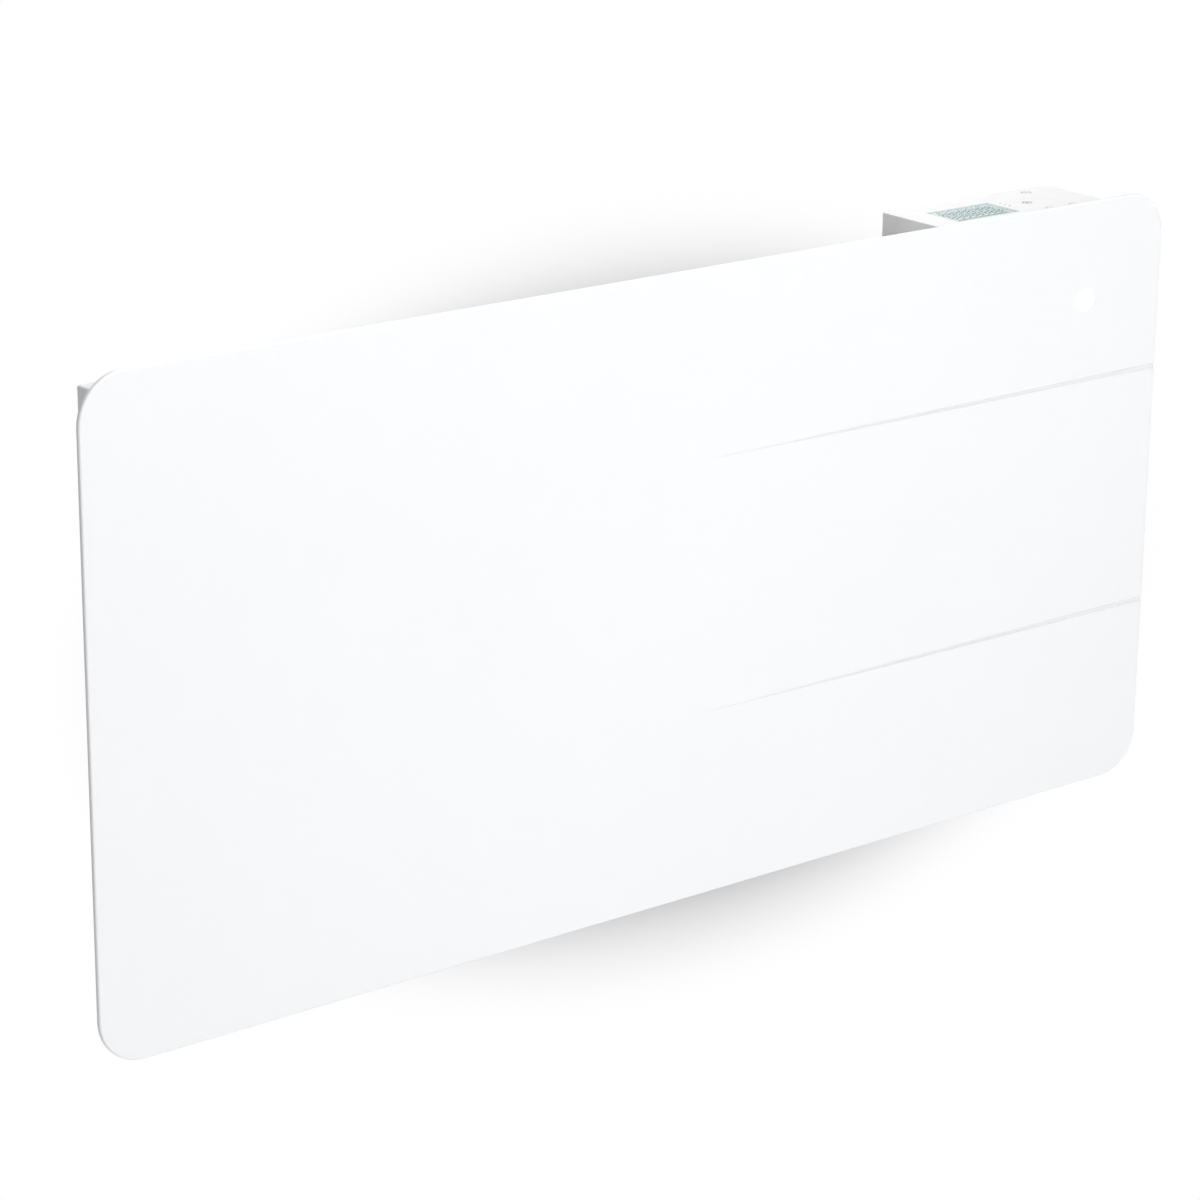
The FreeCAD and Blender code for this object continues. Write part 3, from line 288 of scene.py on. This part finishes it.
def zinc(name, colour, rough, stretch):
    """Zinc-plated sheet: soft spangle, rolling lines and handling marks."""
    s = Shader(name, Metallic=1.0)
    low, high = tinted(colour, 0.10)
    spangle = s.ramp(s.cells(110.0), [(0.0, high), (0.6, low)])
    lines = s.noise(260.0, 4.0, 0.6, stretch)
    dark, light = tinted((0.93, 0.93, 0.93), 0.07)
    s.colour(s.mix(1.0, spangle, s.ramp(lines, [(0.3, dark), (0.7, light)]), "MULTIPLY"))
    s.roughness(s.span(s.noise(35.0, 6.0, 0.65), rough - 0.1, rough + 0.12))
    s.bump(lines, 0.00003, 0.5)
    return s.material


def brushed(name, colour, rough, stretch):
    """Aluminium with a directional mill finish."""
    s = Shader(name, Metallic=1.0, Anisotropic=0.4)
    low, high = tinted(colour, 0.06)
    lines = s.noise(400.0, 5.0, 0.6, stretch)
    s.colour(s.ramp(lines, [(0.3, low), (0.7, high)]))
    s.roughness(s.span(s.noise(50.0, 5.0), rough - 0.08, rough + 0.1))
    s.bump(lines, 0.00002, 0.5)
    return s.material


def circuit_board(name):
    """Green solder mask over copper tracks, with tinned pads."""
    s = Shader(name, Specular_IOR_Level=0.5, Coat_Weight=0.3, Coat_Roughness=0.2)
    brick = s.add("ShaderNodeTexBrick")
    brick.inputs["Scale"].default_value = 90.0
    brick.inputs["Mortar Size"].default_value = 0.03
    s.link(s.place, brick.inputs["Vector"])
    tracks = s.ramp(brick.outputs["Fac"], [(0.4, (0.012, 0.10, 0.04)), (0.6, (0.03, 0.19, 0.075))])
    pads = s.ramp(s.cells(240.0), [(0.10, (0.62, 0.62, 0.6)), (0.13, (1.0, 1.0, 1.0))])
    s.colour(s.mix(1.0, tracks, pads, "MULTIPLY"))
    s.roughness(s.span(s.noise(300.0), 0.3, 0.45))
    s.bump(brick.outputs["Fac"], 0.00004, 0.6)
    return s.material


def fibre_board(name):
    """Pressed mineral fibre: matted strands and pores."""
    s = Shader(name, Roughness=0.95)
    strands = s.noise(700.0, 6.0, 0.7, (1.0, 1.0, 0.25))
    s.colour(s.ramp(strands, [(0.3, (0.50, 0.45, 0.33)), (0.7, (0.76, 0.71, 0.58))]))
    s.bump(strands, 0.0004, 0.8)
    return s.material


def ceramic(name, colour):
    """Unglazed steatite with fine specks."""
    s = Shader(name, Roughness=0.6)
    low, high = tinted(colour, 0.04)
    body = s.ramp(s.noise(90.0, 5.0), [(0.3, low), (0.7, high)])
    specks = s.ramp(s.noise(3000.0, 2.0), [(0.30, (0.75, 0.72, 0.66)), (0.36, (1.0, 1.0, 1.0))])
    s.colour(s.mix(1.0, body, specks, "MULTIPLY"))
    s.bump(s.noise(1500.0, 3.0), 0.00006, 0.6)
    return s.material


def rubbery(name, colour, rough=0.7):
    """Rubber or lead insulation: dusty bloom and slight sheen."""
    s = Shader(name, Sheen_Weight=0.15)
    low, high = tinted(colour, 0.12)
    s.colour(s.ramp(s.noise(220.0, 5.0, 0.6), [(0.3, low), (0.7, high)]))
    s.roughness(s.span(s.noise(400.0), rough - 0.08, rough + 0.08))
    s.bump(s.noise(1800.0, 2.0), 0.00005, 0.4)
    return s.material


def sensor_plastic(name):
    """Milky polyethylene with faint moulded facets, lifted by a faint emission: a painted glow, since
    the lens is no lamp.
    """
    s = Shader(name, Roughness=0.35, Subsurface_Weight=0.2, Subsurface_Scale=0.002)
    s.bsdf.inputs["Emission Color"].default_value = (1.0, 1.0, 1.0, 1.0)
    s.bsdf.inputs["Emission Strength"].default_value = 0.06
    s.colour(s.ramp(s.noise(500.0, 3.0), [(0.3, (0.97, 0.985, 0.975)), (0.7, (0.99, 1.0, 0.99))]))
    s.bump(s.cells(420.0), 0.00002, 0.3)
    return s.material


def clear_window(name):
    """Clear polycarbonate over the display, with a trace of wipe marks."""
    s = Shader(name, Alpha=0.06, IOR=1.5)
    s.colour(s.ramp(s.noise(40.0, 4.0), [(0.3, (0.86, 0.93, 0.92)), (0.7, (0.9, 0.96, 0.95))]))
    s.roughness(s.span(s.noise(160.0, 6.0, 0.7, (1.0, 4.0, 1.0)), 0.06, 0.16))
    return s.material


def display_face(name):
    """The display's grey-green layer, faintly lit, under a fine electrode grid."""
    s = Shader(name, Specular_IOR_Level=0.4)
    s.bsdf.inputs["Emission Color"].default_value = (0.55, 0.72, 0.70, 1.0)
    s.bsdf.inputs["Emission Strength"].default_value = 0.05
    field = s.ramp(s.noise(30.0, 3.0), [(0.3, (0.47, 0.61, 0.60)), (0.7, (0.53, 0.67, 0.66))])
    brick = s.add("ShaderNodeTexBrick", offset=0.0)
    brick.inputs["Scale"].default_value = 900.0
    brick.inputs["Mortar Size"].default_value = 0.02
    s.link(s.place, brick.inputs["Vector"])
    grid = s.ramp(brick.outputs["Fac"], [(0.4, (1.0, 1.0, 1.0)), (0.6, (0.94, 0.95, 0.95))])
    s.colour(s.mix(1.0, field, grid, "MULTIPLY"))
    s.roughness(s.span(s.noise(300.0), 0.25, 0.35))
    return s.material


def glowing(name, colour, strength):
    """A translucent light pipe, lit from below, or given a faint painted glow when unlit."""
    s = Shader(name, Roughness=0.25, Coat_Weight=0.3)
    s.bsdf.inputs["Emission Color"].default_value = (*colour, 1.0)
    s.bsdf.inputs["Emission Strength"].default_value = strength
    low, high = tinted(colour, 0.08)
    s.colour(s.ramp(s.noise(900.0, 2.0), [(0.3, low), (0.7, high)]))
    s.bump(s.noise(2500.0, 2.0), 0.00002, 0.4)
    return s.material


def ink(name, colour):
    """Screen-printed ink, slightly uneven."""
    s = Shader(name)
    low, high = tinted(colour, 0.10)
    s.colour(s.ramp(s.noise(1400.0, 3.0), [(0.3, low), (0.7, high)]))
    s.roughness(s.span(s.noise(2000.0), 0.45, 0.65))
    s.bump(s.noise(6000.0), 0.00001, 0.3)
    return s.material


ALONG_X = (0.02, 1.0, 1.0)
ALONG_Z = (1.0, 1.0, 0.02)

SLOT_MATERIALS = {
    "panel_white": powder_coat("panel_paint", (0.898, 0.902, 0.913), 0.36, shade=0.55),
    "casing_white": powder_coat("casing_paint", (0.86, 0.86, 0.865), 0.45, 700.0, 0.00008),
    "box_white": moulded("box_plastic", (0.90, 0.895, 0.90), 0.48),
    "key_white": moulded("key_plastic", (0.86, 0.86, 0.865), 0.42, 7000.0, 0.00001),
    "lens_white": sensor_plastic("lens_plastic_painted_glow"),
    "window_clear": clear_window("window_plastic"),
    "lcd_face": display_face("display_layer"),
    "backlight_white": moulded("backlight_plastic", (0.8, 0.83, 0.8), 0.5),
    # The unlit pipe still gets a faint emission: a painted glow
    "pipe_clear": glowing("pipe_unlit_painted_glow", (0.62, 0.68, 0.72), 0.02),
    "pipe_amber": glowing("pipe_amber_lit", (0.95, 0.33, 0.03), 0.35),
    "pipe_red": glowing("pipe_red_lit", (0.75, 0.02, 0.03), 0.25),
    "board_green": circuit_board("board_mask"),
    "black_plastic": moulded("black_nylon", (0.022, 0.022, 0.024), 0.42),
    "part_blue": moulded("relay_case", (0.02, 0.09, 0.35), 0.35),
    "terminal_grey": moulded("terminal_plastic", (0.42, 0.42, 0.40), 0.55),
    "zinc_steel": zinc("zinc_sheet", (0.60, 0.61, 0.63), 0.36, ALONG_Z),
    "screw_zinc": zinc("zinc_fastener", (0.66, 0.66, 0.65), 0.32, ALONG_X),
    "raw_aluminium": brushed("mill_aluminium", (0.74, 0.75, 0.76), 0.34, ALONG_X),
    "transformer_iron": zinc("varnished_iron", (0.12, 0.12, 0.125), 0.55, ALONG_Z),
    "heater_steel": brushed("heater_sheath", (0.38, 0.36, 0.33), 0.42, ALONG_X),
    "white_ceramic": ceramic("steatite", (0.82, 0.80, 0.73)),
    "mineral_board": fibre_board("fibre_board"),
    "grey_rubber": rubbery("soft_rubber", (0.045, 0.045, 0.047)),
    "lead_grey": rubbery("grey_insulation", (0.16, 0.16, 0.165), 0.55),
    "lead_red": rubbery("red_insulation", (0.42, 0.02, 0.015), 0.5),
    "lead_white": rubbery("white_insulation", (0.7, 0.7, 0.67), 0.5),
}


def dress_frame():
    """Gives every CAD node its slot's material."""
    for part in frame["record"]["subparts"]:
        node = nodes[part["node"]]
        node.data.materials.clear()
        node.data.materials.append(SLOT_MATERIALS[part["material_slot"]])


# Printed marks: thin raised ink on the display, keys, rocker and label

def polygon_mesh(name, outlines, thick, material):
    """Closed flat outlines, extruded by the ink's thickness along their own normal."""
    mesh = bmesh.new()
    for outline in outlines:
        face = mesh.faces.new([mesh.verts.new(p) for p in outline])
        face.normal_update()
        raised = bmesh.ops.extrude_face_region(mesh, geom=[face])
        top = [v for v in raised["geom"] if isinstance(v, bmesh.types.BMVert)]
        bmesh.ops.translate(mesh, verts=top, vec=face.normal * thick)
    bmesh.ops.recalc_face_normals(mesh, faces=mesh.faces)
    data = bpy.data.meshes.new(name)
    mesh.to_mesh(data)
    mesh.free()
    data.materials.append(material)
    piece = bpy.data.objects.new(name, data)
    bpy.context.scene.collection.objects.link(piece)
    return piece


def flat(outlines, z):
    """Flat (x, y) outlines laid at a height."""
    return [[Vector((x, y, z)) for x, y in outline] for outline in outlines]


def on_face(outlines, point, normal):
    """Flat outlines laid on an upright or leaning face, round a point on it."""
    along = Vector((0, 0, 1)).cross(normal).normalized()
    up = normal.cross(along)
    start = point + normal * INK_LIFT
    return [[start + along * u + up * v for u, v in outline] for outline in outlines]


def surface_at(node, start, direction):
    """Where a line first meets a CAD node, and which way the face looks."""
    away = node.matrix_world.inverted()
    turned = away.to_3x3() @ Vector(direction)
    _, point, normal, _ = node.ray_cast(away @ Vector(start), turned)
    return node.matrix_world @ point, (node.matrix_world.to_3x3() @ normal).normalized()


def rectangle(x0, y0, x1, y1):
    return [(x0, y0), (x1, y0), (x1, y1), (x0, y1)]


def ring(x, y, r0, r1, start=0, end=360, steps=40):
    """A ring or part of one, as short quads."""
    made = []
    for i in range(steps):
        a = math.radians(start + (end - start) * i / steps)
        b = math.radians(start + (end - start) * (i + 1) / steps)
        made.append([(x + r * math.cos(t), y + r * math.sin(t))
                     for r, t in ((r0, a), (r1, a), (r1, b), (r0, b))])
    return made


def segment(x0, y0, x1, y1, half):
    """A display segment with pointed ends."""
    along = Vector((x1 - x0, y1 - y0)).normalized()
    across = Vector((-along.y, along.x)) * half
    a = Vector((x0, y0)) + along * half * 1.3
    b = Vector((x1, y1)) - along * half * 1.3
    tip_a = a - along * half
    tip_b = b + along * half
    return [tip_a, a - across, b - across, tip_b, b + across, a + across]


def digit(x, y, w, h, half):
    """The seven slanting segments of one digit place, all lit."""
    m = y + h / 2
    ends = [(x, y, x + w, y), (x, m, x + w, m), (x, y + h, x + w, y + h),
            (x, y, x, m), (x, m, x, y + h), (x + w, y, x + w, m), (x + w, m, x + w, y + h)]
    slant = 0.10
    return [[(p.x + (p.y - y) * slant, p.y) for p in segment(*end, half)] for end in ends]


def ride_heater(piece):
    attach(piece, "heater")


def make_display_marks():
    """Two rows of digit places, a row of hour bars, and small pointers."""
    low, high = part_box("lcd_glass")
    width = high.x - low.x
    depth = high.y - low.y
    outlines = []
    pitch = width * DIGIT_PITCH
    for row in DIGIT_ROWS:
        y = low.y + depth * row
        for i in range(DIGITS):
            x = low.x + width * FIELD_LEFT + pitch * i
            outlines += digit(x, y, pitch * 0.58, depth * 0.25, SEGMENT_HALF)
            if i % 2:
                outlines += [rectangle(x + pitch * 0.78, y + dy, x + pitch * 0.88, y + dy + 0.0012)
                             for dy in (0.0025, 0.0065)]
    hour = width * HOURS_WIDE / HOURS
    for i in range(HOURS):
        x = low.x + width * FIELD_LEFT + hour * i
        y = low.y + depth * 0.10
        tall = 0.0026 if i % 3 else 0.0038
        outlines.append(rectangle(x, y, x + hour * 0.66, y + tall))
    for i in range(POINTERS):
        x = low.x + width * (0.12 + 0.16 * i)
        y = low.y + depth * 0.90
        outlines.append(rectangle(x, y, x + width * 0.07, y + 0.0012))
        outlines.append([(x + width * 0.085, y), (x + width * 0.115, y), (x + width * 0.10, y + 0.0018)])
    piece = polygon_mesh("display_marks", flat(outlines, high.z + INK_LIFT), INK_T,
                         ink("display_ink", (0.05, 0.08, 0.08)))
    ride_heater(piece)


def make_display_mask():
    """The printed border round the display's field."""
    low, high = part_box("lcd_glass")
    margin = MASK_MARGIN
    outlines = [rectangle(low.x, low.y, high.x, low.y + margin),
                rectangle(low.x, high.y - margin, high.x, high.y),
                rectangle(low.x, low.y + margin, low.x + margin, high.y - margin),
                rectangle(high.x - margin, low.y + margin, high.x, high.y - margin)]
    piece = polygon_mesh("display_mask", flat(outlines, high.z + MASK_LIFT), INK_T,
                         ink("mask_ink", (0.40, 0.50, 0.485)))
    ride_heater(piece)


def key_signs(x, y):
    """Each key's sign: standby, menu lines, minus and plus."""
    return {
        "key_power": ring(x, y, 0.0009, 0.0013, 125, 415, 24)
        + [rectangle(x - 0.0002, y + 0.0004, x + 0.0002, y + 0.0016)],
        "key_menu": [rectangle(x - 0.0013, y + dy, x + 0.0013, y + dy + 0.0004)
                     for dy in (-0.0010, -0.0002, 0.0006)],
        "key_minus": [rectangle(x - 0.0014, y - 0.0002, x + 0.0014, y + 0.0002)],
        "key_plus": [rectangle(x - 0.0014, y - 0.0002, x + 0.0014, y + 0.0002),
                     rectangle(x - 0.0002, y + 0.0002, x + 0.0002, y + 0.0014),
                     rectangle(x - 0.0002, y - 0.0014, x + 0.0002, y - 0.0002)],
    }


def make_key_marks():
    """A ring on each cap's flat rim, and a small sign in its dish."""
    dark = ink("key_ink_dark", (0.07, 0.07, 0.075))
    pale = ink("key_ink_pale", (0.42, 0.42, 0.43))
    for name in ("key_power", "key_menu", "key_minus", "key_plus"):
        low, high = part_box(name)
        x = (low.x + high.x) / 2
        y = (low.y + high.y) / 2
        z = high.z + INK_LIFT
        outlines = flat(ring(x, y, KEY_RING_IN, KEY_RING_OUT, steps=48), z)
        outlines += flat(key_signs(x, y)[name], z - KEY_DISH)
        piece = polygon_mesh(name + "_mark", outlines, INK_T, dark if name == "key_menu" else pale)
        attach(piece, name)


def make_rocker_marks():
    """A ring on the switch's off side and a bar on its on side."""
    low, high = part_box("power_rocker")
    middle = (low + high) / 2
    reach = (high.y - low.y) * 0.24
    outlines = []
    for side, marks in ((-1, [rectangle(-0.0002, -0.0017, 0.0002, 0.0017)]),
                        (1, ring(0, 0, 0.0013, 0.0017, steps=32))):
        start = (high.x + 0.02, middle.y + side * reach, middle.z)
        outlines += on_face(marks, *surface_at(nodes["power_rocker"], start, (-1, 0, 0)))
    piece = polygon_mesh("power_rocker_marks", outlines, INK_T, ink("rocker_ink", (0.85, 0.85, 0.84)))
    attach(piece, "power_rocker")


def label_film(name):
    """Satin polyester film with a faint lacquer mottle."""
    s = Shader(name, Metallic=0.6, Coat_Weight=0.2)
    s.colour(s.ramp(s.noise(300.0, 3.0), [(0.3, (0.62, 0.63, 0.64)), (0.7, (0.70, 0.71, 0.72))]))
    s.roughness(s.span(s.noise(80.0, 4.0), 0.28, 0.42))
    s.bump(s.noise(1500.0, 2.0), 0.00001, 0.3)
    return s.material


def make_rating_label():
    """A blank rating label on the casing's back, with plain rules where its text would be."""
    low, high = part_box("casing_back")
    aim = ((low.x + high.x) / 2 - LABEL_ASIDE, high.y + 0.05, (low.z + high.z) / 2 - LABEL_BELOW)
    point, normal = surface_at(nodes["casing_back"], aim, (0, -1, 0))
    outline = rectangle(-LABEL_HALF_W, -LABEL_HALF_H, LABEL_HALF_W, LABEL_HALF_H)
    film = polygon_mesh("rating_label", on_face([outline], point, normal), LABEL_T,
                        label_film("label_film"))
    ride_heater(film)
    rules = []
    for i in range(RULES):
        y = RULE_TOP - RULE_PITCH * i
        rules.append(rectangle(-RULE_HALF_W, y, RULE_HALF_W - 0.012 * (i % 3), y + 0.001))
    printed = polygon_mesh("rating_label_rules", on_face(rules, point + normal * LABEL_T, normal), INK_T,
                           ink("label_ink", (0.16, 0.16, 0.17)))
    ride_heater(printed)


# Stage and light

def stage_sheet(name, corners, material):
    """One flat sheet of the stage."""
    mesh = bpy.data.meshes.new(name)
    mesh.from_pydata(corners, [], [(0, 1, 2, 3)])
    mesh.materials.append(material)
    piece = bpy.data.objects.new(name, mesh)
    bpy.context.scene.collection.objects.link(piece)
    return piece


def floor_material():
    """Pale paper that fades to plain white far out."""
    s = Shader("floor_paper", Roughness=0.8)
    s.colour(s.ramp(s.noise(2.0, 4.0), [(0.3, (0.90, 0.90, 0.905)), (0.7, (0.93, 0.93, 0.935))]))
    s.one_sided(s.fading(s.bsdf.outputs["BSDF"], (0.0, 0.0, FLOOR_Z), 0.0, FLOOR_FADE, FLOOR_CORE))
    return s.material


def make_floor():
    half = FLOOR_SIZE / 2
    corners = [(-half, -half, FLOOR_Z), (half, -half, FLOOR_Z), (half, half, FLOOR_Z),
               (-half, half, FLOOR_Z)]
    stage_sheet("floor", corners, floor_material())


def wall_material():
    """Mid-grey paper painted where the heater's shadow would fall, fading to plain white light."""
    s = Shader("wall_paper_painted_shadow", Roughness=0.9, Specular_IOR_Level=0.0)
    s.colour(s.ramp(s.noise(5.0, 3.0), [(0.3, (0.456, 0.450, 0.447)), (0.7, (0.466, 0.461, 0.458))]))
    s.one_sided(s.fading(s.bsdf.outputs["BSDF"], SHADOW_AT, SHADOW_TILT, SHADOW_SIZE, SHADOW_CORE))
    return s.material


def make_wall():
    """The wall behind the heater: seen by the camera alone, from the front, and blocking no light."""
    y = cad_box[1].y + WALL_GAP
    corners = [(-WALL_HALF, y, FLOOR_Z), (WALL_HALF, y, FLOOR_Z), (WALL_HALF, y, WALL_TOP),
               (-WALL_HALF, y, WALL_TOP)]
    wall = stage_sheet("wall", corners, wall_material())
    wall.visible_shadow = False
    wall.visible_diffuse = False
    wall.visible_glossy = False
    wall.visible_transmission = False


def soft_light(name, at, target, size, power):
    data = bpy.data.lights.new(name, "AREA")
    data.shape = "RECTANGLE"
    data.size = size[0]
    data.size_y = size[1]
    data.energy = power
    light = bpy.data.objects.new(name, data)
    light.location = at
    aim = Vector(target) - Vector(at)
    light.rotation_mode = "QUATERNION"
    light.rotation_quaternion = aim.to_track_quat("-Z", "Y")
    light.visible_camera = False
    bpy.context.scene.collection.objects.link(light)


def make_world():
    """Soft ambient light on the object, and plain white where the camera sees past the stage."""
    world = bpy.data.worlds.new("studio")
    bpy.context.scene.world = world
    world.use_nodes = True
    tree = world.node_tree
    tree.nodes.clear()
    out = tree.nodes.new("ShaderNodeOutputWorld")
    mix = tree.nodes.new("ShaderNodeMixShader")
    ray = tree.nodes.new("ShaderNodeLightPath")
    ambient = tree.nodes.new("ShaderNodeBackground")
    ambient.inputs["Color"].default_value = (0.98, 0.99, 1.0, 1.0)
    ambient.inputs["Strength"].default_value = AMBIENT
    shown = tree.nodes.new("ShaderNodeBackground")
    shown.inputs["Color"].default_value = (1.0, 1.0, 1.0, 1.0)
    shown.inputs["Strength"].default_value = 1.0
    tree.links.new(ray.outputs["Is Camera Ray"], mix.inputs["Fac"])
    tree.links.new(ambient.outputs["Background"], mix.inputs[1])
    tree.links.new(shown.outputs["Background"], mix.inputs[2])
    tree.links.new(mix.outputs["Shader"], out.inputs["Surface"])


def make_light():
    bpy.context.scene.view_settings.view_transform = "Standard"
    make_world()
    for light in LIGHTS:
        soft_light(*light)


make_camera()
dress_frame()
make_display_marks()
make_display_mask()
make_key_marks()
make_rocker_marks()
make_rating_label()
make_floor()
make_wall()
make_light()
